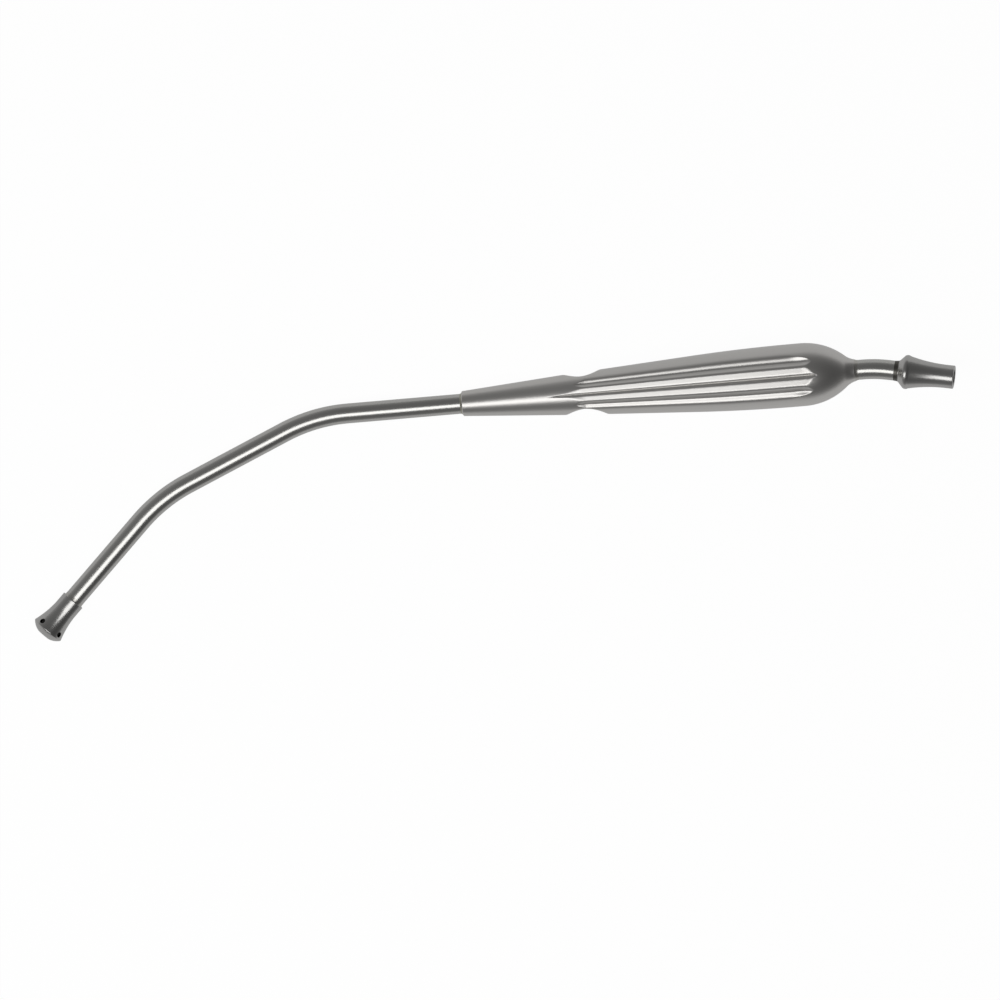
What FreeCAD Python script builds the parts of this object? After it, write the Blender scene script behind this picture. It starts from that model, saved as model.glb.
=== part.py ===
"""Reusable steel yankauer suction tip: a bent suction tube with a turned head, a hollow fluted grip and a
tapered tubing connector, brazed together. Lengths are in millimetres and angles in degrees.

Each piece is drawn along its own X axis. They meet in the grip's frame, whose X axis runs from the front of
the grip towards the connector and whose XY plane holds the bends, and the whole part is then laid down on
the surface that it rests on."""
import FreeCAD, Part
import math
import os
import Sketcher

doc = FreeCAD.newDocument("suction_tip")
sheet = doc.addObject("Spreadsheet::Sheet", "Dimensions")

DIMENSIONS = {
    # tube, and the runs between the corners of its axis
    "tube_diameter": 6.0,
    "tube_wall": 0.5,
    "braze_gap": 0.04,
    "tip_run": 40.5,
    "middle_run": 52.3,
    "grip_run": 45.0,
    "rear_run_out": 6.0,
    "rear_run": 7.2,
    "tip_bend": 21.3,
    "grip_bend": 23.1,
    "rear_bend": 11.2,
    "front_bend_radius": 50.0,
    "rear_bend_radius": 40.0,
    # head, measured from its seam with the tube
    "head_length": 13.65,
    "head_socket": 5.5,
    "collar_radius": 3.6,
    "collar_length": 3.9,
    "flare_radius": 30.0,
    "rim_station": 11.75,
    "rim_radius": 5.05,
    "dome_radius": 5.5,
    "nose_radius": 2.2,
    "mouth_radius": 1.6,
    "chamber_end": 11.4,
    "chamber_radius": 3.85,
    "nose_wall": 1.1,
    "eye_diameter": 1.65,
    "eye_station": 10.45,
    "eye_clocking": 35.8,
    # grip outline, as the lengths of its stretches from front to rear
    "ferrule_radius": 3.75,
    "ferrule_chamfer": 0.25,
    "cone_length": 30.2,
    "cone_radius": 6.0,
    "taper_length": 39.8,
    "taper_radius": 8.47,
    "crown_length": 33.1,
    "crown_radius": 514.0,
    "shoulder_length": 12.9,
    "shoulder_radius": 20.0,
    "neck_run": 2.9,
    "lip_thickness": 0.22,
    # hollow inside the grip
    "front_wall": 33.0,
    "cavity_ramp": 13.0,
    "cavity_wall": 1.75,
    "rear_wall": 5.4,
    # finger notches in the upper and lower edge of the grip
    "notch_cutter": 12.0,
    "upper_notch_station": 35.9,
    "upper_notch_height": 5.15,
    "lower_notch_station": 36.7,
    "lower_notch_height": 4.7,
    # flutes in the two broad sides of the grip, as angles, shares of its radius, and stations along it
    "flute_pitch": 24.0,
    "flute_depth": 0.105,
    "ridge_drop": 0.007,
    "band_rise": 0.09,
    "flute_start": 25.6,
    "flute_ramp": 12.0,
    "outer_flute_delay": 1.6,
    # tubing connector, measured from its seam with the tube
    "connector_length": 16.8,
    "connector_socket": 7.0,
    "neck_radius": 3.3,
    "neck_length": 0.15,
    "cone_end": 1.35,
    "cone_end_radius": 4.6,
    "crest_round": 1.35,
    "crest_end": 3.2,
    "crest_end_radius": 4.9,
    "sweep_radius": 46.0,
    "nozzle_station": 14.0,
    "nozzle_radius": 3.5,
    "edge_chamfer": 0.25,
    # fillets of braze round the tube
    "front_braze_length": 0.55,
    "front_braze_height": 0.45,
    "rear_braze_length": 1.0,
    "head_braze_length": 1.1,
    "head_braze_height": 0.12,
    "connector_braze_length": 1.3,
    "connector_braze_height": 0.2,
    # how the part lies: turned about its own X axis and then about Y
    "rest_roll": -5.96,
    "rest_pitch": -2.65,
}

# Sizes that follow from the ones above: the grip's arcs run smoothly into each other
WORKED_OUT = {
    "taper_end": "cone_length + taper_length",
    "shoulder_start": "taper_end + crown_length",
    "shoulder_end": "shoulder_start + shoulder_length",
    "grip_length": "shoulder_end + neck_run",
    "rear_corner": "grip_length + rear_run_out",
    "taper_angle": "atan((taper_radius - cone_radius) / taper_length)",
    "crown_station": "taper_end + crown_radius * sin(taper_angle)",
    "crown_height": "taper_radius + crown_radius * (1 - cos(taper_angle))",
    "shoulder_fall": "asin((shoulder_start - crown_station) / crown_radius)",
    "shoulder_edge": "crown_height - crown_radius * (1 - cos(shoulder_fall))",
    "neck_fall": "asin(shoulder_length / shoulder_radius + sin(shoulder_fall))",
    "shoulder_foot": "shoulder_edge - shoulder_radius * (cos(shoulder_fall) - cos(neck_fall))",
    "lip_radius": "tube_diameter / 2 + braze_gap + lip_thickness",
    "neck_drop": "shoulder_foot - lip_radius",
    "neck_sweep": "(neck_run ^ 2 + neck_drop ^ 2)"
                  " / (2 * (neck_run * sin(neck_fall) - neck_drop * cos(neck_fall)))",
}
for row, (name, value) in enumerate({**DIMENSIONS, **WORKED_OUT}.items(), start=1):
    sheet.set("A%d" % row, name)
    sheet.set("B%d" % row, "=" + value if name in WORKED_OUT else str(value))
    sheet.setAlias("B%d" % row, name)
doc.recompute()

TUBE = "$tube_diameter / 2"
BORE = "$tube_diameter / 2 - $tube_wall"
SOCKET = "$tube_diameter / 2 + $braze_gap"
X_AXIS, Y_AXIS, Z_AXIS = FreeCAD.Vector(1, 0, 0), FreeCAD.Vector(0, 1, 0), FreeCAD.Vector(0, 0, 1)

# A sketch's own numbers for an edge's points, and for its axes, which cross at the first one's start
START, END, CENTRE = range(1, 4)
VERTICAL_AXIS, HORIZONTAL_AXIS = range(-2, 0)
ORIGIN = (HORIZONTAL_AXIS, START)
CLOSE = 1e-6

# Grooves in each broad side of the grip, and how the fluted core is drawn
GROOVES = 3
CROWN_SPANS = 3
CORE_OVERHANG = 2.0


def evaluate(expression):
    """The number that an expression on the sheet gives, with $ in front of each cell's name."""
    value = sheet.evalExpression(expression.replace("$", ""))
    return float(getattr(value, "Value", value))


def size(name):
    return evaluate("$" + name)


# Sketches and features

def new_body(label):
    body = doc.addObject("PartDesign::Body", label)
    body.Label = label
    return body


def origin_feature(body, role):
    """One of the body's own origin planes or axes."""
    return next(item for item in body.Origin.OriginFeatures if item.Role == role)


def new_sketch(body, name, role="XY_Plane"):
    sketch = body.newObject("Sketcher::SketchObject", name)
    sketch.AttachmentSupport = [(origin_feature(body, role), "")]
    sketch.MapMode = "FlatFace"
    return sketch


def bind(sketch, kind, arguments, expression):
    """A constraint whose value follows an expression on the sheet."""
    value = evaluate(expression)
    if kind == "Angle":
        value = math.radians(value)
    index = sketch.addConstraint(Sketcher.Constraint(kind, *arguments, value))
    sketch.setExpression("Constraints[%d]" % index, expression.replace("$", "Dimensions."))


def place(sketch, end, across, up):
    """Puts a point at two distances from the sketch's origin. A distance is measured towards the point."""
    for kind, axis, expression in (("DistanceX", VERTICAL_AXIS, across), ("DistanceY", HORIZONTAL_AXIS, up)):
        value = evaluate(expression)
        if abs(value) < CLOSE:
            sketch.addConstraint(Sketcher.Constraint("PointOnObject", *end, axis))
        elif value < 0:
            bind(sketch, kind, (*end, *ORIGIN), "-(%s)" % expression)
        else:
            bind(sketch, kind, (*ORIGIN, *end), expression)


def circle(sketch, across, up, radius):
    centre = FreeCAD.Vector(evaluate(across), evaluate(up), 0)
    index = sketch.addGeometry(Part.Circle(centre, Z_AXIS, evaluate(radius)), False)
    bind(sketch, "Radius", (index,), radius)
    place(sketch, (index, CENTRE), across, up)


def three_point_arc(sketch, start, through, end):
    """The arc's index, and which of its ends lies at start and which at end."""
    index = sketch.addGeometry(Part.Arc(start, through, end), False)
    forward = (sketch.getPoint(index, START) - start).Length < CLOSE
    return index, (START, END) if forward else (END, START)


def turned(label, corners, feature="PartDesign::Revolution", body=None):
    """Turns a closed half section about the body's X axis. A corner gives its station along the axis and its
    radius from it. Where an arc leads to it, it also names the arc's radius and says whether the arc bows
    away from the axis, 1, or towards it, -1."""
    body = body or new_body(label)
    sketch = new_sketch(body, label + "_section")
    points = [FreeCAD.Vector(evaluate(corner[0]), evaluate(corner[1]), 0) for corner in corners]
    ends = []
    for number, corner in enumerate(corners):
        before = points[number - 1]
        after = points[number]
        if len(corner) == 2:
            index = sketch.addGeometry(Part.LineSegment(before, after), False)
            head, tail = START, END
        else:
            radius, side = corner[2:]
            half = (after - before).Length / 2
            sag = size(radius) - math.sqrt(size(radius) ** 2 - half ** 2)
            across = Z_AXIS.cross(after - before).normalize()
            if across.y * side < 0:
                across = across * -1
            through = (before + after) * 0.5 + across * sag
            index, (head, tail) = three_point_arc(sketch, before, through, after)
            bind(sketch, "Radius", (index,), "$" + radius)
        ends.append(((index, head), (index, tail)))
    for number, corner in enumerate(corners):
        following = ends[(number + 1) % len(ends)]
        sketch.addConstraint(Sketcher.Constraint("Coincident", *ends[number][1], *following[0]))
        place(sketch, ends[number][1], corner[0], corner[1])
    solid = body.newObject(feature, label + "_turned")
    solid.Profile = sketch
    solid.ReferenceAxis = (origin_feature(body, "X_Axis"), [""])
    solid.Angle = 360
    doc.recompute()
    return body


# Suction tube

def tube_path(sketch):
    """The tube's axis from its tip: straight runs joined by tangent arcs that all turn to the same side."""
    bends = (
        ("tip_bend", "front_bend_radius"),
        ("grip_bend", "front_bend_radius"),
        ("rear_bend", "rear_bend_radius"),
    )
    spans = (
        "$head_socket + $tip_run",
        "$middle_run",
        "$grip_run + $rear_corner",
        "$rear_run + $connector_socket",
    )
    cuts = ["$%s * tan($%s / 2)" % (radius, angle) for angle, radius in bends]
    here, forward = FreeCAD.Vector(), X_AXIS
    joint = None
    for number, span in enumerate(spans):
        straight = " - ".join([span] + cuts[max(0, number - 1):number + 1])
        there = here + forward * evaluate(straight)
        run = sketch.addGeometry(Part.LineSegment(here, there), False)
        bind(sketch, "Distance", (run,), straight)
        if joint is None:
            sketch.addConstraint(Sketcher.Constraint("Coincident", run, START, *ORIGIN))
            sketch.addConstraint(Sketcher.Constraint("Horizontal", run))
        else:
            sketch.addConstraint(Sketcher.Constraint("Tangent", *joint, run, START))
        if number == len(bends):
            return
        angle, radius = bends[number]
        right = forward.cross(Z_AXIS)
        centre = there + right * size(radius)
        middle, far = [centre + turn(there - centre, -size(angle) * share) for share in (0.5, 1)]
        bend, (head, tail) = three_point_arc(sketch, there, middle, far)
        sketch.addConstraint(Sketcher.Constraint("Tangent", run, END, bend, head))
        bind(sketch, "Radius", (bend,), "$" + radius)
        joint = (bend, tail)
        here, forward = far, turn(forward, -size(angle))
        bind(sketch, "Angle", (bend,), "$" + angle)


def turn(arm, degrees):
    """A vector turned about Z."""
    return FreeCAD.Rotation(Z_AXIS, degrees).multVec(arm)


def make_tube():
    """A ring carried along the tube's axis."""
    body = new_body("suction_tube")
    path = new_sketch(body, "tube_path")
    tube_path(path)
    ring = new_sketch(body, "tube_ring", "YZ_Plane")
    circle(ring, "0", "0", TUBE)
    circle(ring, "0", "0", BORE)
    doc.recompute()
    drawn = body.newObject("PartDesign::AdditivePipe", "drawn_tube")
    drawn.Profile = ring
    drawn.Spine = (path, ["Edge%d" % (number + 1) for number in range(len(path.Geometry))])
    return body


# Head

def make_head():
    """A turned bell with a domed nose, bored through, with four suction eyes beside its rim."""
    body = turned("suction_head", [
        ("0", SOCKET),
        ("0", "$collar_radius"),
        ("$collar_length", "$collar_radius"),
        ("$rim_station", "$rim_radius", "flare_radius", -1),
        ("$head_length", "$nose_radius", "dome_radius", 1),
        ("$head_length", "$mouth_radius"),
        ("$head_length - $nose_wall", "$mouth_radius"),
        ("$chamber_end", "$chamber_radius"),
        ("$head_socket", BORE),
        ("$head_socket", SOCKET),
    ])
    eye = new_sketch(body, "eye_circle")
    circle(eye, "$eye_station", "0", "$eye_diameter / 2")
    drilled = body.newObject("PartDesign::Pocket", "suction_eye")
    drilled.Profile = eye
    drilled.Type = "ThroughAll"
    drilled.Reversed = True
    doc.recompute()
    eyes = body.newObject("PartDesign::PolarPattern", "suction_eyes")
    eyes.Originals = [drilled]
    eyes.Axis = (origin_feature(body, "X_Axis"), [""])
    eyes.Angle = 360
    eyes.Occurrences = 4
    body.Tip = eyes
    return body


# Tubing connector

def make_connector():
    """A turned nozzle that the suction tubing is pushed over, with the tube's own bore."""
    return turned("tubing_connector", [
        ("0", SOCKET),
        ("0", "$neck_radius"),
        ("$neck_length", "$neck_radius"),
        ("$cone_end", "$cone_end_radius"),
        ("$crest_end", "$crest_end_radius", "crest_round", 1),
        ("$nozzle_station", "$nozzle_radius", "sweep_radius", -1),
        ("$connector_length - $edge_chamfer", "$nozzle_radius"),
        ("$connector_length", "$nozzle_radius - $edge_chamfer"),
        ("$connector_length", BORE + " + $edge_chamfer"),
        ("$connector_length - $edge_chamfer", BORE),
        ("$connector_socket", BORE),
        ("$connector_socket", SOCKET),
    ])


# Grip

def make_grip_blank():
    """The grip before its flutes: ferrule, cone, long taper, crown, shoulder and neck, turned hollow, with a
    finger notch across its upper and its lower edge."""
    body = turned("grip_blank", [
        ("0", SOCKET),
        ("0", "$ferrule_radius - $ferrule_chamfer"),
        ("$ferrule_chamfer", "$ferrule_radius"),
        ("$cone_length", "$cone_radius"),
        ("$taper_end", "$taper_radius"),
        ("$shoulder_start", "$shoulder_edge", "crown_radius", 1),
        ("$shoulder_end", "$shoulder_foot", "shoulder_radius", 1),
        ("$grip_length", "$lip_radius", "neck_sweep", -1),
        ("$grip_length", SOCKET),
    ])
    ramp_end = "$front_wall + $cavity_ramp"
    rear_end = "$grip_length - $rear_wall"
    ramp_radius = "$cone_radius + (%s - $cone_length) * tan($taper_angle) - $cavity_wall" % ramp_end
    turned("grip_cavity", [
        ("$front_wall", BORE),
        ("$front_wall", SOCKET),
        (ramp_end, ramp_radius),
        ("$taper_end", "$taper_radius - $cavity_wall"),
        ("$crown_station", "$crown_height - $cavity_wall"),
        ("$shoulder_start", "$shoulder_edge - $cavity_wall"),
        (rear_end, SOCKET),
        (rear_end, BORE),
    ], "PartDesign::Groove", body)
    circles = new_sketch(body, "notch_circles")
    circle(circles, "$upper_notch_station", "$upper_notch_height + $notch_cutter", "$notch_cutter")
    circle(circles, "$lower_notch_station", "-($lower_notch_height + $notch_cutter)", "$notch_cutter")
    notches = body.newObject("PartDesign::Pocket", "finger_notches")
    notches.Profile = circles
    notches.Type = "ThroughAll"
    notches.SideType = "Symmetric"
    return body


def grip_radius(station):
    """The grip's radius on its long taper and its crown, each carried on past its own end."""
    if station <= size("taper_end"):
        return evaluate("$cone_radius + (%f - $cone_length) * tan($taper_angle)" % station)
    beyond = min(station, size("shoulder_start")) - size("crown_station")
    return size("crown_height") - size("crown_radius") + math.sqrt(size("crown_radius") ** 2 - beyond ** 2)


def fluted_radius(station, pitches):
    """Radius of the fluted core, so many groove pitches round from the middle of a broad side. There the
    grooves follow a cosine between rounded ridges that stay just inside the grip's own surface. Beside them
    the core stands outside that surface, and near their front ends it rises through it."""
    pitches = abs(pitches)
    shape = -size("ridge_drop")
    if pitches > GROOVES / 2:
        blend = min(1.0, pitches - GROOVES / 2)
        shape += size("band_rise") * (1 - math.cos(math.pi * blend)) / 2
    else:
        before = max(0.0, size("flute_start") + size("flute_ramp") - station) / size("flute_ramp")
        lift = before * (1 + size("outer_flute_delay") * pitches ** 2)
        shape += size("flute_depth") * (lift - (1 + math.cos(2 * math.pi * pitches)) / 2)
    return grip_radius(station) * (1 + shape)


def core_point(station, pitches, side):
    """A point of the fluted core, so many pitches round from the middle of its upper side. The lower side is
    turned on by 180 degrees."""
    spoke = FreeCAD.Rotation(X_AXIS, pitches * size("flute_pitch") + side).multVec(Z_AXIS)
    return spoke * fluted_radius(station, pitches) + X_AXIS * station


def core_section(station):
    """A closed wire across the grip. On each broad side arcs run through the bottom of every groove and the
    top of every ridge, and meet halfway up. From the outer ridges straight edges lead out to the bands."""
    last = GROOVES / 2
    edge_of_band = last + 1
    middle_of_band = 90 / size("flute_pitch")
    joins = [-last] + [0.25 - last + 0.5 * half for half in range(2 * GROOVES)] + [last]
    edges = []
    for side in (0, 180):
        for start, end in zip(joins, joins[1:]):
            points = [core_point(station, pitches, side) for pitches in (start, (start + end) / 2, end)]
            edges.append(Part.Arc(*points))
        ridge = core_point(station, last, side)
        near = core_point(station, edge_of_band, side)
        middle = core_point(station, middle_of_band, side)
        far = core_point(station, -edge_of_band, side + 180)
        next_ridge = core_point(station, -last, side + 180)
        edges.append(Part.LineSegment(ridge, near))
        edges.append(Part.Arc(near, middle, far))
        edges.append(Part.LineSegment(far, next_ridge))
    return Part.Wire([edge.toShape() for edge in edges])


def make_fluted_core():
    """Straight-sided spans between sections across the grip, which follow its crown in short steps."""
    start = size("flute_start")
    stations = [-CORE_OVERHANG, start, start + size("flute_ramp")]
    crown_step = size("crown_length") / CROWN_SPANS
    stations += [size("taper_end") + crown_step * number for number in range(CROWN_SPANS + 1)]
    stations += [size("grip_length") + CORE_OVERHANG]
    core = doc.addObject("Part::Feature", "fluted_core")
    core.Shape = Part.makeLoft([core_section(station) for station in stations], True, True)
    return core


def make_grip():
    """The grip's blank, kept where it lies inside the fluted core."""
    grip = doc.addObject("Part::Common", "fluted_grip")
    grip.Label = "fluted_grip"
    grip.Base = make_grip_blank()
    grip.Tool = make_fluted_core()
    return grip


# Fillets of braze

def make_braze_rings():
    """One ring at each place where a piece is brazed to the tube, outside the joint."""
    front = turned("front_braze_ring", [
        ("-$front_braze_length", TUBE),
        ("0", TUBE),
        ("0", TUBE + " + $front_braze_height"),
    ])
    rear = turned("rear_braze_ring", [
        ("$grip_length", TUBE),
        ("$grip_length + $rear_braze_length", TUBE),
        ("$grip_length", "$lip_radius"),
    ])
    head = turned("head_braze_ring", [
        ("-$head_braze_length", TUBE),
        ("0", TUBE),
        ("0", TUBE + " + $head_braze_height"),
    ])
    connector = turned("connector_braze_ring", [
        ("-$connector_braze_length", TUBE),
        ("0", TUBE),
        ("0", TUBE + " + $connector_braze_height"),
        ("$connector_braze_height - $connector_braze_length", TUBE + " + $connector_braze_height"),
    ])
    return front, rear, head, connector


# Assembly

def frame(origin, degrees, clocking=0):
    """A piece's own frame in the grip's frame: moved, turned about Z, and clocked about its own axis."""
    spin = FreeCAD.Rotation(Z_AXIS, degrees).multiply(FreeCAD.Rotation(X_AXIS, clocking))
    return FreeCAD.Placement(origin, spin)


def assemble():
    """Every sub-part by its frame: first in the grip's frame, then laid down."""
    head_angle = evaluate("$tip_bend + $grip_bend")
    corner = X_AXIS * -size("grip_run") - turn(X_AXIS, size("grip_bend")) * size("middle_run")
    seam = corner - turn(X_AXIS, head_angle) * size("tip_run")
    tube_end = seam - turn(X_AXIS, head_angle) * size("head_socket")
    rear_seam = X_AXIS * size("rear_corner") + turn(X_AXIS, -size("rear_bend")) * size("rear_run")
    head_frame = frame(seam, head_angle + 180, size("eye_clocking"))
    connector_frame = frame(rear_seam, -size("rear_bend"))
    front_ring, rear_ring, head_ring, connector_ring = make_braze_rings()
    frames = {
        make_head(): head_frame,
        head_ring: head_frame,
        make_tube(): frame(tube_end, head_angle),
        front_ring: FreeCAD.Placement(),
        make_grip(): FreeCAD.Placement(),
        rear_ring: FreeCAD.Placement(),
        connector_ring: connector_frame,
        make_connector(): connector_frame,
    }
    doc.recompute()
    roll, pitch = FreeCAD.Rotation(X_AXIS, size("rest_roll")), FreeCAD.Rotation(Y_AXIS, size("rest_pitch"))
    laid = FreeCAD.Placement(FreeCAD.Vector(), pitch.multiply(roll))
    for piece, placement in frames.items():
        piece.Placement = laid.multiply(placement)
    doc.recompute()
    box = FreeCAD.BoundBox()
    for piece in frames:
        box.add(piece.Shape.optimalBoundingBox(False))
    ground = FreeCAD.Placement(FreeCAD.Vector(-box.Center.x, -box.Center.y, -box.ZMin), FreeCAD.Rotation())
    for piece in frames:
        piece.Placement = ground.multiply(piece.Placement)
    doc.recompute()
    return list(frames)


pieces = assemble()
for item in doc.Objects:
    if "Invalid" in item.State or "Error" in item.State:
        raise RuntimeError("%s failed: %s" % (item.Label, item.State))
for piece in pieces:
    if piece.Shape.isNull() or not piece.Shape.isValid() or len(piece.Shape.Solids) != 1:
        raise RuntimeError("%s is not one valid solid" % piece.Label)

os.makedirs("parts", exist_ok=True)
for piece in pieces:
    piece.Shape.exportStep("parts/%s.step" % piece.Label)
    print("%-22s volume %8.2f mm3, faces %d" % (piece.Label, piece.Shape.Volume, len(piece.Shape.Faces)))
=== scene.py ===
"""Studio picture of a steel yankauer suction tip that lies on a white table.

The surfaces are worked out in millimetres in the grip's frame and then laid down in the row's frame. The
grip's X axis runs from its front towards the connector, and its XY plane holds the tube's bends."""
import math

import bpy
import numpy as np
from mathutils import Matrix, Vector


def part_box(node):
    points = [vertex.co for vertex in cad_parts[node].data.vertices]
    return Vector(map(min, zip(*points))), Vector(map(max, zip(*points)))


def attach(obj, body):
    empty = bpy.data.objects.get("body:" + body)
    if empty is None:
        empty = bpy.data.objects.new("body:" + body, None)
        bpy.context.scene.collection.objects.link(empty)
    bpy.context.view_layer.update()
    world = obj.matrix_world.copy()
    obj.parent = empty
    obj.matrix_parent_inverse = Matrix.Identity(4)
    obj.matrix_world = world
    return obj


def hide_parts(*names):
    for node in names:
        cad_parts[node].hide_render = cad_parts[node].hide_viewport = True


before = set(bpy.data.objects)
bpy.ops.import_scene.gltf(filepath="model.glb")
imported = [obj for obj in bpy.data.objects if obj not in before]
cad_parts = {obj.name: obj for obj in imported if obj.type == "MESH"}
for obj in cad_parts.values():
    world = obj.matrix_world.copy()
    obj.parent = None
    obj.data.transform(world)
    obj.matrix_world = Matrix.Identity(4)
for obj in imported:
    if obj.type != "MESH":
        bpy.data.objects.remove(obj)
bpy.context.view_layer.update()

MM = 0.001
X_AXIS = np.array([1.0, 0.0, 0.0])
Z_AXIS = np.array([0.0, 0.0, 1.0])

# Tube, and the runs between the corners of its axis
TUBE_RADIUS, BORE_RADIUS = 3.0, 2.5
BRAZE_GAP = 0.04
SOCKET_RADIUS = TUBE_RADIUS + BRAZE_GAP
TIP_RUN, MIDDLE_RUN, GRIP_RUN, REAR_RUN = 40.5, 52.3, 45.0, 7.2
REAR_CORNER = 124.9
TIP_BEND, GRIP_BEND, REAR_BEND = 21.3, 23.1, 11.2
FRONT_BEND_RADIUS, REAR_BEND_RADIUS = 50.0, 40.0
HEAD_SOCKET, CONNECTOR_SOCKET = 5.5, 7.0

# Grip outline, as stations from its front edge and radii
FERRULE_RADIUS, FRONT_CHAMFER = 3.75, 0.25
CONE_LENGTH, CONE_RADIUS = 30.2, 6.0
TAPER_END, TAPER_RADIUS = 70.0, 8.47
TAPER_SLOPE = (TAPER_RADIUS - CONE_RADIUS) / (TAPER_END - CONE_LENGTH)
CROWN_RADIUS = 514.0
SHOULDER_START, SHOULDER_END, SHOULDER_RADIUS = 103.1, 116.0, 20.0
GRIP_LENGTH = 118.9
LIP_WALL = 0.22
LIP_RADIUS = SOCKET_RADIUS + LIP_WALL

# Finger notches: the radius of the round cutter, the station and height of each one's deepest point, the
# least lean of a spoke that can meet one, and the radius that stands for none. Then how softly the edges of
# the grooves and of the notches are rounded.
NOTCH_CUTTER = 12.0
UPPER_NOTCH, LOWER_NOTCH = (35.9, 5.15), (36.7, 4.7)
LEAST_LEAN, NO_NOTCH = 0.05, 50.0
EDGE_SOFTNESS, NOTCH_SOFTNESS = 0.12, 0.36

# Grooves on each broad side. First the corners of half of the side's section, as bearings from its middle in
# degrees and shares of the radius. Then how far the corners are eased: fully from one bearing on, and by a
# tenth at the middle. Then how far the grooves are turned about the grip, where they start and how they fade
# in, and where they end and how they run out. The outer ones are shorter at both ends.
SECTION_BEARINGS = (-0.3, 0.3, 4.4, 18.8, 31.0, 40.5, 60.0)
SECTION_SHARES = (0.885, 0.885, 0.945, 0.995, 0.885, 0.995, 1.09)
CORNER_EASE, FULL_EASE_BEARING, MIDDLE_EASE = 3.0, 8.0, 0.1
EASE_STEPS = (-1, -0.67, -0.33, 0, 0.33, 0.67, 1)
GROOVE_TURN = 3.3
GROOVE_DEPTH = 0.115
GROOVE_START, GROOVE_RAMP = 25.6, 12.0
GROOVE_END, GROOVE_RUN_OUT = 103.6, 7.0
OUTER_GROOVE_DELAY, DELAY_BEARING = 1.6, 24.0

# Head, as stations from its rear face and radii, the radii of its rounded edges, its side eyes, and how far
# from the axis their cutters start and end
FACE_RADIUS, COLLAR_START, COLLAR_RADIUS, COLLAR_LENGTH = 3.48, 0.5, 3.6, 3.9
FLARE_RADIUS, RIM_STATION, RIM_RADIUS = 30.0, 11.75, 5.05
HEAD_LENGTH, DOME_RADIUS, NOSE_RADIUS, MOUTH_RADIUS = 13.65, 5.5, 2.2, 1.6
CHAMBER_END, CHAMBER_RADIUS, NOSE_WALL = 11.4, 3.85, 1.1
COLLAR_EDGE, RIM_EDGE, NOSE_EDGE, MOUTH_EDGE = 0.1, 0.3, 0.4, 0.15
EYE_COUNT, EYE_DIAMETER, EYE_STATION, EYE_CLOCKING = 4, 1.65, 10.45, 35.8
CUTTER_START, CUTTER_END = 2.0, 6.5

# Tubing connector, as stations from its front face and radii, and how far before its mouth the straight
# walls stop
NECK_RADIUS, NECK_LENGTH, NECK_CHAMFER = 3.3, 0.15, 0.06
CONE_END, CONE_END_RADIUS = 1.35, 4.6
CREST_ROUND, CREST_END, CREST_END_RADIUS = 1.35, 3.2, 4.9
SWEEP_RADIUS, NOZZLE_STATION, NOZZLE_RADIUS = 46.0, 14.0, 3.5
CONNECTOR_LENGTH, END_ROUND = 16.8, 0.25
NOZZLE_MARGIN, BORE_MARGIN = 0.4, 0.5

# Braze fillets, each as the station of its foot, its signed length and its height at the foot, and how much
# of its fall follows a circle, where the rest is straight
FRONT_FILLET, REAR_FILLET = (0.0, -0.55, 0.45), (GRIP_LENGTH, 1.0, 0.26)
HEAD_FILLET, CONNECTOR_FILLET = (0.0, -1.1, 0.12), (0.0, -1.3, 0.2)
FILLET_HOLLOW = 0.55

# Grids of the surfaces: points round each, the spacing along the tube's straight runs, and the angle from
# which an edge is sharp. The grip has stretches of bearings, over one broad side and one edge, and of
# stations, each as first, last and count.
TUBE_COLUMNS, HEAD_COLUMNS, CONNECTOR_COLUMNS, BRAZE_COLUMNS, BOX_COLUMNS = 96, 160, 144, 96, 720
RUN_STEP = 4.0
FILLET_ROWS = 9
EYE_COLUMNS = 48
SHARP_ANGLE = 40.0
GRIP_BEARINGS = ((-50.0, 50.0, 135), (53.0, 127.0, 18))
GRIP_STATIONS = ((0.0, FRONT_CHAMFER, 3), (0.5, 24.0, 36), (24.3, 46.0, 88), (47.0, 99.5, 36),
                 (100.3, GRIP_LENGTH, 110))

# How the part lies: turned about its own X axis and then about Y
REST_ROLL, REST_PITCH = -5.96, -2.65

# Marks in metal, as their size along a piece and round it in millimetres: those of a belt and of a lathe,
# and a grain that runs no way. Then the height of a full bump in millimetres, how much of it the belt leaves
# on the grip, and how far the roughness varies either way.
BELT_MARKS, LATHE_MARKS, EVEN_GRAIN = (8.33, 0.25), (0.25, 8.33), (1.0, 1.0)
MARK_HEIGHT, BELT_DEPTH, GLOSS_SPREAD = 0.02, 0.02, 0.02

# Softbox, as radiance, width and depth, place in metres and turn in degrees
SOFTBOX, SOFTBOX_WIDTH, SOFTBOX_DEPTH = 1.78, 0.67, 0.37
SOFTBOX_PLACE, SOFTBOX_TURN = (-0.195, -0.125, 0.66), -4.0

# Studio walls, as radiance: their own grey, what is added towards the horizon and towards +X and +Y, and the
# least that any wall has
WALL_GREY, HORIZON_GLOW, RIGHT_GLOW, SIDE_GLOW = 0.13, 0.15, -0.08, 0.02
HORIZON_POWER = 3.0
DARKEST_WALL = 0.04

# Table, in metres and as radiance: its sweep for the camera and for the metal, and the sweep's share for the
# camera, where the rest is lit paint that takes the shadow
TABLE_HALF = 1.5
TABLE_SWEEP, TABLE_IN_METAL, SWEEP_SHARE = 1.04, 0.5, 0.93

# Camera: its lean towards the connector, the rise of the grip in the picture, what it looks at in the grip's
# frame, the picture's width in millimetres and the camera's distance in metres
CAMERA_LEAN = 6.0
PICTURE_RISE = 4.875
PICTURE_CENTRE = (8.8, -29.76, 0.0)
PICTURE_WIDTH = 300.0
CAMERA_DISTANCE = 1.0


# Frames

def turn(axis, degrees):
    """Matrix of a turn about one of the axes."""
    return np.array(Matrix.Rotation(math.radians(degrees), 3, axis))


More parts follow.
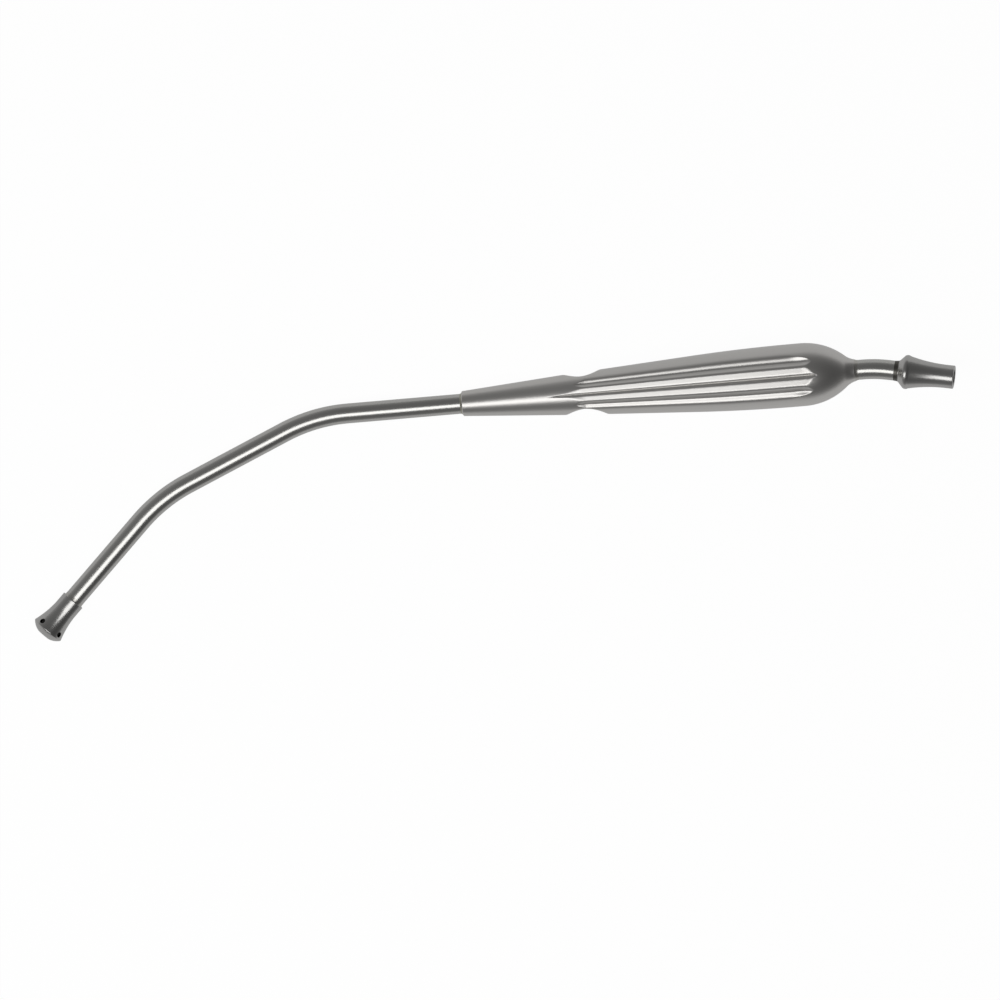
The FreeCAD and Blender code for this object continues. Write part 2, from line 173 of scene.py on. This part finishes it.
def along(degrees):
    """Unit vector in the bend plane at an angle from the grip's axis."""
    return turn("Z", degrees) @ X_AXIS


LAID = turn("Y", REST_PITCH) @ turn("X", REST_ROLL)
HEAD_ANGLE = TIP_BEND + GRIP_BEND
SEAM = -GRIP_RUN * along(0) - MIDDLE_RUN * along(GRIP_BEND) - TIP_RUN * along(HEAD_ANGLE)
REAR_SEAM = REAR_CORNER * along(0) + REAR_RUN * along(-REAR_BEND)
GRIP_FRAME = (np.zeros(3), np.eye(3))
HEAD_FRAME = (SEAM, turn("Z", HEAD_ANGLE + 180) @ turn("X", EYE_CLOCKING))
CONNECTOR_FRAME = (REAR_SEAM, turn("Z", -REAR_BEND))


# Outlines, as rows of station and radius

def arc(start, end, radius, side, count):
    """Points of a circle's arc between two points of an outline: the middle of the chord, moved along its
    normal by the arc's rise. Side 1 bows away from the axis and -1 towards it."""
    start, end = np.array(start), np.array(end)
    chord = end - start
    normal = np.array([-chord[1], chord[0]]) / np.linalg.norm(chord)
    normal *= side * np.sign(normal[1] or 1.0)
    half = np.linalg.norm(chord) / 2
    centre = (start + end) / 2 - normal * math.sqrt(radius ** 2 - half ** 2)
    spread = math.asin(half / radius)
    swing = np.linspace(-spread, spread, count)[:, None]
    return centre + radius * (np.cos(swing) * normal + np.sin(swing) * chord / (2 * half))


def rounded(before, corner, after, radius, count=7):
    """A corner of an outline replaced by an arc of a circle that touches both of its sides."""
    corner = np.array(corner)
    inward = (np.array(before) - corner) / np.linalg.norm(np.array(before) - corner)
    outward = (np.array(after) - corner) / np.linalg.norm(np.array(after) - corner)
    half_turn = math.acos(np.clip(inward @ outward, -1, 1)) / 2
    reach = radius / math.tan(half_turn)
    middle = (inward + outward) / np.linalg.norm(inward + outward)
    centre = corner + middle * radius / math.sin(half_turn)
    first = corner + inward * reach - centre
    last = corner + outward * reach - centre
    share = np.linspace(0, 1, count)[:, None]
    fan = (1 - share) * first + share * last
    return centre + radius * fan / np.linalg.norm(fan, axis=1, keepdims=True)


def line(start, end, count=2):
    """Evenly spaced points of a straight stretch."""
    return np.linspace(start, end, count)


def distances(points):
    """How far each point of a row is from its first one, along the row."""
    steps = np.linalg.norm(np.diff(points, axis=0), axis=1)
    return np.concatenate([[0], np.cumsum(steps)])


# Surfaces

def mesh_piece(name, points, length, girth):
    """A mesh from a grid of points that closes on itself both ways, with a UV map that holds the distance
    along its rows and round its columns, in millimetres."""
    rows, columns = points.shape[:2]
    index = np.arange(rows * columns).reshape(rows, columns)
    down = np.roll(index, -1, axis=0)
    right = np.roll(index, -1, axis=1)
    corner = np.roll(down, -1, axis=1)
    quads = np.stack([index, right, corner, down], axis=-1).reshape(-1, 4)
    flat = points.reshape(-1, 3)
    one, two, three = flat[quads[:, 0]], flat[quads[:, 1]], flat[quads[:, 2]]
    if np.einsum("ij,ij->i", one, np.cross(two, three)).sum() < 0:
        quads = quads[:, ::-1]
    mesh = bpy.data.meshes.new(name)
    mesh.from_pydata(flat, [], quads.tolist())
    row, column = np.divmod(quads, columns)
    wraps = (column == 0) & (column.max(axis=1, keepdims=True) == columns - 1)
    coordinates = np.stack([length[row], girth[np.where(wraps, columns, column)]], axis=-1)
    mesh.uv_layers.new(name="Surface").data.foreach_set("uv", coordinates.astype(np.float32).ravel())
    mesh.polygons.foreach_set("use_smooth", np.ones(len(quads), bool))
    mesh.set_sharp_from_angle(angle=math.radians(SHARP_ANGLE))
    piece = bpy.data.objects.new(name, mesh)
    bpy.context.scene.collection.objects.link(piece)
    return piece


def lay_down(points, placing):
    """Points of a piece's own frame, in millimetres, taken to the row's frame in metres."""
    origin, spin = placing
    return ((points @ spin.T + origin) @ LAID.T + SHIFT) * MM


def round_axis(station, radius, bearing):
    """Grid of points round the X axis: the one at station x and bearing b is (x, r sin b, r cos b)."""
    return np.stack([station + 0 * bearing, radius * np.sin(bearing), radius * np.cos(bearing)], axis=-1)


def turned(name, outline, placing, columns):
    """A surface of revolution, whose outline is a closed loop round the wall's section."""
    bearing = np.linspace(0, 2 * np.pi, columns, endpoint=False)
    grid = round_axis(outline[:, :1], outline[:, 1:], bearing)
    girth = np.linspace(0, 2 * np.pi * outline[:, 1].mean(), columns + 1)
    return mesh_piece(name, lay_down(grid, placing), distances(outline), girth)


# Tube

def tube_line():
    """Points and directions along the tube's axis from its tip: straight runs, and bends whose direction
    turns evenly from one run to the next, about a degree at a time."""
    reaches = [FRONT_BEND_RADIUS * math.tan(math.radians(TIP_BEND / 2)),
               FRONT_BEND_RADIUS * math.tan(math.radians(GRIP_BEND / 2)),
               REAR_BEND_RADIUS * math.tan(math.radians(REAR_BEND / 2))]
    spans = [HEAD_SOCKET + TIP_RUN - reaches[0],
             MIDDLE_RUN - reaches[0] - reaches[1],
             GRIP_RUN + REAR_CORNER - reaches[1] - reaches[2],
             REAR_RUN + CONNECTOR_SOCKET - reaches[2]]
    bends = [(TIP_BEND, FRONT_BEND_RADIUS), (GRIP_BEND, FRONT_BEND_RADIUS), (REAR_BEND, REAR_BEND_RADIUS)]
    heading = HEAD_ANGLE
    here = SEAM - HEAD_SOCKET * along(heading)
    points, headings = [here], [heading]
    for number, span in enumerate(spans):
        for share in np.linspace(0, 1, 2 + int(span / RUN_STEP))[1:]:
            points.append(here + share * span * along(heading))
            headings.append(heading)
        here = points[-1]
        if number < len(bends):
            angle, radius = bends[number]
            centre = here + radius * along(heading - 90)
            for turned_by in np.linspace(0, angle, 2 + int(angle))[1:]:
                points.append(centre + radius * along(heading + 90 - turned_by))
                headings.append(heading - turned_by)
            heading -= angle
            here = points[-1]
    return np.array(points), np.array(headings)


def tube_rings(radius, columns, closed):
    """Rings of points round the tube's axis: the one at bearing b is the axis point plus r sin b towards the
    outside of the bends and r cos b upwards. A closed ring ends on the point that it starts from."""
    points, headings = tube_line()
    sideways = np.array([along(heading + 90) for heading in headings])[:, None]
    bearing = np.linspace(0, 2 * np.pi, columns, endpoint=closed)[None, :, None]
    return points[:, None] + radius * (np.sin(bearing) * sideways + np.cos(bearing) * Z_AXIS)


def find_shift():
    """How far the laid part is moved, so that the tube's own box meets the box of its solid."""
    laid = tube_rings(TUBE_RADIUS, BOX_COLUMNS, True).reshape(-1, 3) @ LAID.T
    solid_low, solid_high = (np.array(corner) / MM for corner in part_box("suction_tube"))
    return (solid_low + solid_high - laid.min(axis=0) - laid.max(axis=0)) / 2


SHIFT = find_shift()


def make_tube():
    """The bent tube, whose rows run out along the wall and back along the bore."""
    outer = tube_rings(TUBE_RADIUS, TUBE_COLUMNS, False)
    inner = tube_rings(BORE_RADIUS, TUBE_COLUMNS, False)
    grid = np.concatenate([outer, inner[::-1]])
    length = distances(tube_line()[0])
    length = np.concatenate([length, length[::-1]])
    girth = np.linspace(0, 2 * np.pi * TUBE_RADIUS, TUBE_COLUMNS + 1)
    return mesh_piece("tube", lay_down(grid, GRIP_FRAME), length, girth)


# Grip

def soft_minimum(one, other, softness):
    """The lesser of two surfaces, with the edge between them rounded over a small height."""
    mix = np.clip(0.5 + (other - one) / (2 * softness), 0, 1)
    return other + (one - other) * mix - softness * mix * (1 - mix)


def grip_outline(station):
    """Radius of the turned grip: ferrule and cone, long taper, crown, shoulder and neck, whose arcs run
    smoothly into each other."""
    lean = math.atan(TAPER_SLOPE)
    crown_station = TAPER_END + CROWN_RADIUS * math.sin(lean)
    crown_height = TAPER_RADIUS + CROWN_RADIUS * (1 - math.cos(lean))
    fall = math.asin((SHOULDER_START - crown_station) / CROWN_RADIUS)
    shoulder_edge = crown_height - CROWN_RADIUS * (1 - math.cos(fall))
    centre = SHOULDER_START - SHOULDER_RADIUS * math.sin(fall)
    middle = shoulder_edge - SHOULDER_RADIUS * math.cos(fall)
    foot_fall = math.asin((SHOULDER_END - centre) / SHOULDER_RADIUS)
    foot = middle + SHOULDER_RADIUS * math.cos(foot_fall)
    reach, drop = GRIP_LENGTH - SHOULDER_END, foot - LIP_RADIUS
    sweep = (reach ** 2 + drop ** 2) / (2 * (reach * math.sin(foot_fall) - drop * math.cos(foot_fall)))
    cone = FERRULE_RADIUS + station * (CONE_RADIUS - FERRULE_RADIUS) / CONE_LENGTH
    taper = CONE_RADIUS + (station - CONE_LENGTH) * TAPER_SLOPE
    crown = crown_height - CROWN_RADIUS + np.sqrt(CROWN_RADIUS ** 2 - (station - crown_station) ** 2)
    inside = np.clip(station - centre, -SHOULDER_RADIUS, SHOULDER_RADIUS)
    shoulder = middle + np.sqrt(SHOULDER_RADIUS ** 2 - inside ** 2)
    neck_centre = SHOULDER_END + sweep * math.sin(foot_fall)
    away = np.clip(station - neck_centre, -sweep, sweep)
    neck = foot + sweep * math.cos(foot_fall) - np.sqrt(sweep ** 2 - away ** 2)
    ends = (CONE_LENGTH, TAPER_END, SHOULDER_START, SHOULDER_END)
    return np.select([station < end for end in ends], [cone, taper, crown, shoulder], neck)


def flat_sided(bearing):
    """Share of the radius at a bearing from the middle of a broad side, on straight flanks between corners:
    the line through two corners, written for bearings."""
    corners = np.radians(SECTION_BEARINGS)
    shares = np.array(SECTION_SHARES)
    place = np.radians(np.clip(np.abs(bearing), 0, SECTION_BEARINGS[-1]))
    after = np.clip(np.searchsorted(corners, place), 1, len(corners) - 1)
    first, second = corners[after - 1], corners[after]
    near, far = shares[after - 1], shares[after]
    across = near * np.sin(place - first) + far * np.sin(second - place)
    return near * far * np.sin(second - first) / across


def core_radius(station, bearing):
    """Radius of the grooved core, with eased corners. Beside the grooves it stands outside the grip's own
    surface. It rises through that surface at both of their ends, evenly in front and by a square behind."""
    capped = np.clip(station, None, SHOULDER_START)
    taper = CONE_RADIUS + (capped - CONE_LENGTH) * TAPER_SLOPE
    base = np.where(capped <= TAPER_END, taper, grip_outline(capped))
    ease = CORNER_EASE * np.clip(np.abs(bearing) / FULL_EASE_BEARING, MIDDLE_EASE, 1)
    share = sum(flat_sided(bearing + ease * step) for step in EASE_STEPS) / len(EASE_STEPS)
    before = np.clip(GROOVE_START + GROOVE_RAMP - station, 0, None) / GROOVE_RAMP
    outward = OUTER_GROOVE_DELAY * (bearing / DELAY_BEARING) ** 2
    behind = np.clip(station - GROOVE_END + outward, 0, None) / GROOVE_RUN_OUT
    lift = before * (1 + outward) + behind ** 2
    return base * (share + GROOVE_DEPTH * lift)


def notch_radius(station, bearing, notch, side):
    """Radius at which a spoke meets the round finger notch across the upper, 1, or lower, -1, edge."""
    middle, height = notch
    inside = np.clip(NOTCH_CUTTER ** 2 - (station - middle) ** 2, 0, None)
    floor = height + NOTCH_CUTTER - np.sqrt(inside)
    lean = side * np.sin(bearing)
    cut = floor / np.clip(lean, LEAST_LEAN, None)
    return np.clip(np.where((inside > 0) & (lean > LEAST_LEAN), cut, NO_NOTCH), None, NO_NOTCH)


def make_grip():
    """The grip's outer surface: at each station and bearing the least of its turned outline, the grooved
    core and the two finger notches, with their edges rounded. The rows come back along its bore."""
    stations = np.concatenate([line(*stretch) for stretch in GRIP_STATIONS])[:, None]
    half = np.concatenate([line(*stretch) for stretch in GRIP_BEARINGS])
    bearing = np.radians(np.concatenate([half, half + 180.0]) - GROOVE_TURN)[None, :]
    from_middle = np.degrees(np.arcsin(np.sin(bearing + math.radians(GROOVE_TURN))))
    outline = grip_outline(stations) - np.clip(FRONT_CHAMFER - stations, 0, None)
    radius = soft_minimum(outline + 0 * bearing, core_radius(stations, from_middle), EDGE_SOFTNESS)
    for notch, side in ((UPPER_NOTCH, 1), (LOWER_NOTCH, -1)):
        radius = soft_minimum(radius, notch_radius(stations, bearing, notch, side), NOTCH_SOFTNESS)
    ends = np.array([GRIP_LENGTH, 0.0])[:, None]
    grid = np.concatenate([round_axis(stations, radius, bearing),
                           round_axis(ends, SOCKET_RADIUS + 0 * ends, bearing)])
    length = np.concatenate([stations[:, 0], ends[:, 0]])
    girth = CONE_RADIUS * np.append(bearing[0], bearing[0, 0] + 2 * np.pi)
    return mesh_piece("grip_shell", lay_down(grid, GRIP_FRAME), length, girth)


# Head

def make_head():
    """A turned bell: socket, collar, concave flare, rim, domed nose and mouth, and the chamber inside. The
    rounded rim and nose take the place of the last few points of the arcs that meet there."""
    socket, collar = (0.0, SOCKET_RADIUS), (COLLAR_LENGTH, COLLAR_RADIUS)
    rim, nose = (RIM_STATION, RIM_RADIUS), (HEAD_LENGTH, NOSE_RADIUS)
    mouth, throat = (HEAD_LENGTH, MOUTH_RADIUS), (HEAD_LENGTH - NOSE_WALL, MOUTH_RADIUS)
    chamber = (CHAMBER_END, CHAMBER_RADIUS)
    flare = arc(collar, rim, FLARE_RADIUS, -1, count=28)
    dome = arc(rim, nose, DOME_RADIUS, 1, count=28)
    outline = np.concatenate([
        line(socket, (0.0, FACE_RADIUS)),
        rounded(socket, (0.0, COLLAR_RADIUS), collar, COLLAR_EDGE)[1:],
        line((COLLAR_START, COLLAR_RADIUS), collar, count=6)[:-1],
        flare[:-3],
        rounded(flare[-4], flare[-1], dome[3], RIM_EDGE),
        dome[3:-2],
        rounded(dome[-3], dome[-1], mouth, NOSE_EDGE),
        rounded(nose, mouth, throat, MOUTH_EDGE),
        line(throat, chamber, count=6),
        line(chamber, (HEAD_SOCKET, BORE_RADIUS), count=12)[1:],
        [(HEAD_SOCKET, SOCKET_RADIUS)],
    ])
    return turned("head_bell", outline, HEAD_FRAME, HEAD_COLUMNS)


def drill_eyes(head, bore):
    """Round holes through the bell's wall, square to its axis, cut by cylinders that are then removed. Their
    walls take the near-black material given as bore, which is painted shade."""
    for number in range(EYE_COUNT):
        outward = turn("X", 360 / EYE_COUNT * number) @ Z_AXIS
        ends = EYE_STATION * X_AXIS + np.outer((CUTTER_START, CUTTER_END), outward)
        low, high = lay_down(ends, HEAD_FRAME)
        depth = (CUTTER_END - CUTTER_START) * MM
        bpy.ops.mesh.primitive_cylinder_add(vertices=EYE_COLUMNS, radius=EYE_DIAMETER / 2 * MM, depth=depth,
                                            location=(low + high) / 2)
        cutter = bpy.context.object
        cutter.rotation_mode = "QUATERNION"
        cutter.rotation_quaternion = Vector(high - low).to_track_quat("Z", "Y")
        bpy.context.view_layer.update()
        # The cutter carries the near-black painted shade onto the eye walls.
        cutter.data.materials.append(bore)
        cut = head.modifiers.new("Eye", "BOOLEAN")
        cut.material_mode = "TRANSFER"
        cut.object = cutter
        cut.operation = "DIFFERENCE"
        cut.solver = "EXACT"
        bored = head.evaluated_get(bpy.context.evaluated_depsgraph_get())
        drilled = bpy.data.meshes.new_from_object(bored)
        head.modifiers.clear()
        head.data = drilled
        bpy.data.objects.remove(cutter)
    head.data.set_sharp_from_angle(angle=math.radians(SHARP_ANGLE))


# Tubing connector

def make_connector():
    """A turned nozzle: neck, steep cone, rounded crest, concave sweep and straight end, and its bore."""
    neck, cone = (NECK_LENGTH, NECK_RADIUS), (CONE_END, CONE_END_RADIUS)
    crest, nozzle = (CREST_END, CREST_END_RADIUS), (NOZZLE_STATION, NOZZLE_RADIUS)
    rim, mouth = (CONNECTOR_LENGTH, NOZZLE_RADIUS), (CONNECTOR_LENGTH, BORE_RADIUS)
    socket = (CONNECTOR_SOCKET, BORE_RADIUS)
    outline = np.concatenate([
        line((0.0, SOCKET_RADIUS), (0.0, NECK_RADIUS - NECK_CHAMFER)),
        line((NECK_CHAMFER, NECK_RADIUS), neck),
        line(neck, cone, count=5)[1:-1],
        arc(cone, crest, CREST_ROUND, 1, count=14),
        arc(crest, nozzle, SWEEP_RADIUS, -1, count=30)[1:],
        line(nozzle, (CONNECTOR_LENGTH - NOZZLE_MARGIN, NOZZLE_RADIUS), count=5)[1:],
        rounded(nozzle, rim, mouth, END_ROUND),
        rounded(rim, mouth, socket, END_ROUND),
        line((CONNECTOR_LENGTH - BORE_MARGIN, BORE_RADIUS), socket, count=4),
        [(CONNECTOR_SOCKET, SOCKET_RADIUS)],
    ])
    return turned("connector_nozzle", outline, CONNECTOR_FRAME, CONNECTOR_COLUMNS)


# Braze

def make_fillet(name, placing, fillet):
    """A concave fillet of braze round the tube, which falls to it from the edge that it joins."""
    foot, length, height = fillet
    share = np.linspace(0, 1, FILLET_ROWS)
    fall = FILLET_HOLLOW * np.sqrt(1 - (1 - share) ** 2) + (1 - FILLET_HOLLOW) * share
    slope = np.stack([foot + length * share, TUBE_RADIUS + height * (1 - fall)], axis=-1)
    outline = np.concatenate([slope, [(foot + length, TUBE_RADIUS)], [(foot, TUBE_RADIUS)]])
    return turned(name, outline, placing, BRAZE_COLUMNS)


# Materials

def linear(hex_colour):
    """An sRGB hex colour as linear red, green, blue and alpha."""
    values = [int(hex_colour[place:place + 2], 16) / 255 for place in (1, 3, 5)]
    lit = [value / 12.92 if value <= 0.04045 else ((value + 0.055) / 1.055) ** 2.4 for value in values]
    return lit + [1.0]


def node(tree, kind, links=(), values=(), **settings):
    """Adds a node with its settings, its links as socket, from node and from socket, and the values of its
    other sockets."""
    made = tree.nodes.new(kind)
    for name, value in settings.items():
        setattr(made, name, value)
    for socket, value in values:
        made.inputs[socket].default_value = value
    for socket, source, output in links:
        tree.links.new(source.outputs[output], made.inputs[socket])
    return made


def marked_metal(name, colour, roughness, marks, depth=0.0):
    """A bare metal whose surface carries the marks of how it was made, as noise that is stretched over its
    UV map in millimetres. They vary the gloss, and where they have depth they raise a very fine bump."""
    material = bpy.data.materials.new(name)
    material.use_nodes = True
    tree = material.node_tree
    tree.nodes.clear()
    per_millimetre = (1 / marks[0], 1 / marks[1], 1.0)
    surface = node(tree, "ShaderNodeUVMap", uv_map="Surface")
    fine = node(tree, "ShaderNodeMapping", [("Vector", surface, "UV")], [("Scale", per_millimetre)])
    grain = node(tree, "ShaderNodeTexNoise", [("Vector", fine, "Vector")], [("Scale", 1.0), ("Detail", 3.0)])
    gloss = node(tree, "ShaderNodeMapRange", [("Value", grain, "Fac")],
                 [("To Min", roughness - GLOSS_SPREAD), ("To Max", roughness + GLOSS_SPREAD)])
    bump = node(tree, "ShaderNodeBump", [("Height", grain, "Fac")],
                [("Strength", depth), ("Distance", MARK_HEIGHT * MM)])
    shader = node(tree, "ShaderNodeBsdfPrincipled",
                  [("Roughness", gloss, "Result"), ("Normal", bump, "Normal")],
                  [("Base Color", linear(colour)), ("Metallic", 1.0)])
    node(tree, "ShaderNodeOutputMaterial", [("Surface", shader, "BSDF")])
    return material


def white_table():
    """White laminate, pressed smooth and left matt: an even white that the camera sees as a bright sweep
    with the object's soft shadow on it, and that the metal mirrors as a plain light grey."""
    material = bpy.data.materials.new("white_laminate")
    material.use_nodes = True
    tree = material.node_tree
    tree.nodes.clear()
    white = linear("#FFFFFF")
    paint = node(tree, "ShaderNodeBsdfDiffuse", (), [("Color", linear("#F4F4F2"))])
    sweep = node(tree, "ShaderNodeEmission", (), [("Color", white), ("Strength", TABLE_SWEEP)])
    mirrored = node(tree, "ShaderNodeEmission", (), [("Color", white), ("Strength", TABLE_IN_METAL)])
    rays = node(tree, "ShaderNodeLightPath")
    seen = node(tree, "ShaderNodeMath", [(0, rays, "Is Camera Ray")], [(1, SWEEP_SHARE)],
                operation="MULTIPLY")
    direct = node(tree, "ShaderNodeMixShader",
                  [(0, seen, "Value"), (1, paint, "BSDF"), (2, sweep, "Emission")])
    surface = node(tree, "ShaderNodeMixShader",
                   [(0, rays, "Is Glossy Ray"), (1, direct, "Shader"), (2, mirrored, "Emission")])
    node(tree, "ShaderNodeOutputMaterial", [("Surface", surface, "Shader")])
    return material


# Studio

def make_table():
    """A wide flat table at height 0, which the part rests on."""
    corners = [(x * TABLE_HALF, y * TABLE_HALF, 0) for x, y in ((-1, -1), (1, -1), (1, 1), (-1, 1))]
    mesh = bpy.data.meshes.new("table_top")
    mesh.from_pydata(corners, [], [(0, 1, 2, 3)])
    table = bpy.data.objects.new("table_top", mesh)
    bpy.context.scene.collection.objects.link(table)
    mesh.materials.append(white_table())


def make_softbox():
    """A rectangular lamp over the left of the part and a little towards -Y, which faces straight down."""
    lamp = bpy.data.lights.new("softbox", "AREA")
    lamp.shape = "RECTANGLE"
    lamp.size = SOFTBOX_WIDTH
    lamp.size_y = SOFTBOX_DEPTH
    lamp.energy = SOFTBOX * SOFTBOX_WIDTH * SOFTBOX_DEPTH * math.pi
    body = bpy.data.objects.new("softbox", lamp)
    body.location = SOFTBOX_PLACE
    body.rotation_euler = (0.0, 0.0, math.radians(SOFTBOX_TURN))
    bpy.context.scene.collection.objects.link(body)


def make_world():
    """Grey studio walls: lighter towards the horizon and towards +Y, darker towards +X."""
    world = bpy.data.worlds.new("studio")
    world.use_nodes = True
    tree = world.node_tree
    tree.nodes.clear()
    direction = node(tree, "ShaderNodeTexCoord")
    parts = node(tree, "ShaderNodeSeparateXYZ", [("Vector", direction, "Generated")])
    upright = node(tree, "ShaderNodeMath", [(1, parts, "Z")], [(0, 1.0)], operation="SUBTRACT")
    low = node(tree, "ShaderNodeMath", [(0, upright, "Value")], [(1, HORIZON_POWER)], operation="POWER")
    horizon = node(tree, "ShaderNodeMath", [(0, low, "Value")], [(1, HORIZON_GLOW), (2, WALL_GREY)],
                   operation="MULTIPLY_ADD")
    side = node(tree, "ShaderNodeMath", [(0, parts, "Y"), (2, horizon, "Value")], [(1, SIDE_GLOW)],
                operation="MULTIPLY_ADD")
    total = node(tree, "ShaderNodeMath", [(0, parts, "X"), (2, side, "Value")], [(1, RIGHT_GLOW)],
                 operation="MULTIPLY_ADD")
    bounded = node(tree, "ShaderNodeMath", [(0, total, "Value")], [(1, DARKEST_WALL)], operation="MAXIMUM")
    wall = node(tree, "ShaderNodeBackground", [("Strength", bounded, "Value")],
                [("Color", linear("#FFFFFF"))])
    node(tree, "ShaderNodeOutputWorld", [("Surface", wall, "Background")])
    bpy.context.scene.world = world


def make_camera():
    """An orthographic camera that looks down on the part, square to the picture's width."""
    lean = turn("Y", CAMERA_LEAN)
    towards = lean @ Z_AXIS
    level = lean @ X_AXIS
    rise = math.radians(PICTURE_RISE)
    upwards = np.cross(towards, level)
    right = math.cos(rise) * level - math.sin(rise) * upwards
    top = math.sin(rise) * level + math.cos(rise) * upwards
    axes = Matrix(np.stack([LAID @ right, LAID @ top, LAID @ towards], axis=1).tolist())
    target = Vector(lay_down(np.array(PICTURE_CENTRE), GRIP_FRAME))
    data = bpy.data.cameras.new("camera")
    data.type = "ORTHO"
    data.ortho_scale = PICTURE_WIDTH * MM
    camera = bpy.data.objects.new("camera", data)
    place = target + axes @ Vector((0, 0, CAMERA_DISTANCE))
    camera.matrix_world = Matrix.Translation(place) @ axes.to_4x4()
    bpy.context.scene.collection.objects.link(camera)
    bpy.context.scene.camera = camera


# Stainless steel tube, cold drawn and belt polished along its length: the finest finish here, with
# highlights that run down it as soft-edged lines.
tube_steel = marked_metal("drawn_stainless_steel", "#CBCAC7", 0.24, BELT_MARKS)

# Stainless steel turned on a lathe: rings too fine to make out, which blur each highlight a little.
turned_steel = marked_metal("turned_stainless_steel", "#C2C1BF", 0.25, LATHE_MARKS)

# Stainless steel brushed lengthways with a belt: a satin that spreads the light over the grooves' flanks.
grip_steel = marked_metal("belt_brushed_stainless_steel", "#DAD8D5", 0.33, BELT_MARKS, BELT_DEPTH)

# Near-black rough metal on the eyes' walls: painted shade, for the dark inside of the bell that shows
# through the eyes.
eye_shade_metal = marked_metal("painted_shade_in_eyes", "#2C2B2A", 0.5, EVEN_GRAIN)

# Silver braze, dressed flush and polished with the steel: nearly its colour, a thin line at most.
dressed_braze = marked_metal("dressed_silver_braze", "#C6C4BF", 0.26, EVEN_GRAIN)

# Silver braze as it flowed: a little yellower and duller than the steel.
rough_braze = marked_metal("silver_braze", "#B9B7AA", 0.42, EVEN_GRAIN)

# Silver braze painted dark grey: painted shade of the concave fillet where the tube meets the connector,
# duller than the steel.
shaded_connector_braze = marked_metal("braze_with_painted_shade", "#6B6965", 0.42, EVEN_GRAIN)

steel_pieces = (
    (make_tube(), "suction_tube", tube_steel),
    (make_grip(), "fluted_grip", grip_steel),
    (make_head(), "suction_head", turned_steel),
    (make_connector(), "tubing_connector", turned_steel),
)
braze_rings = (
    (make_fillet("front_braze", GRIP_FRAME, FRONT_FILLET), "front_braze_ring", rough_braze),
    (make_fillet("rear_braze", GRIP_FRAME, REAR_FILLET), "rear_braze_ring", dressed_braze),
    (make_fillet("head_braze", HEAD_FRAME, HEAD_FILLET), "head_braze_ring", dressed_braze),
    # The connector's fillet is painted dark grey as shade.
    (make_fillet("connector_braze", CONNECTOR_FRAME, CONNECTOR_FILLET), "connector_braze_ring", shaded_connector_braze),
)
for pieces, slot in ((steel_pieces, "satin_steel"), (braze_rings, "braze")):
    for piece, solid, metal in pieces:
        piece.data.materials.append(metal)
        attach(piece, "root")
        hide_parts(solid)
drill_eyes(bpy.data.objects["head_bell"], eye_shade_metal)

make_table()
make_softbox()
make_world()
make_camera()
bpy.context.scene.view_settings.view_transform = "Standard"
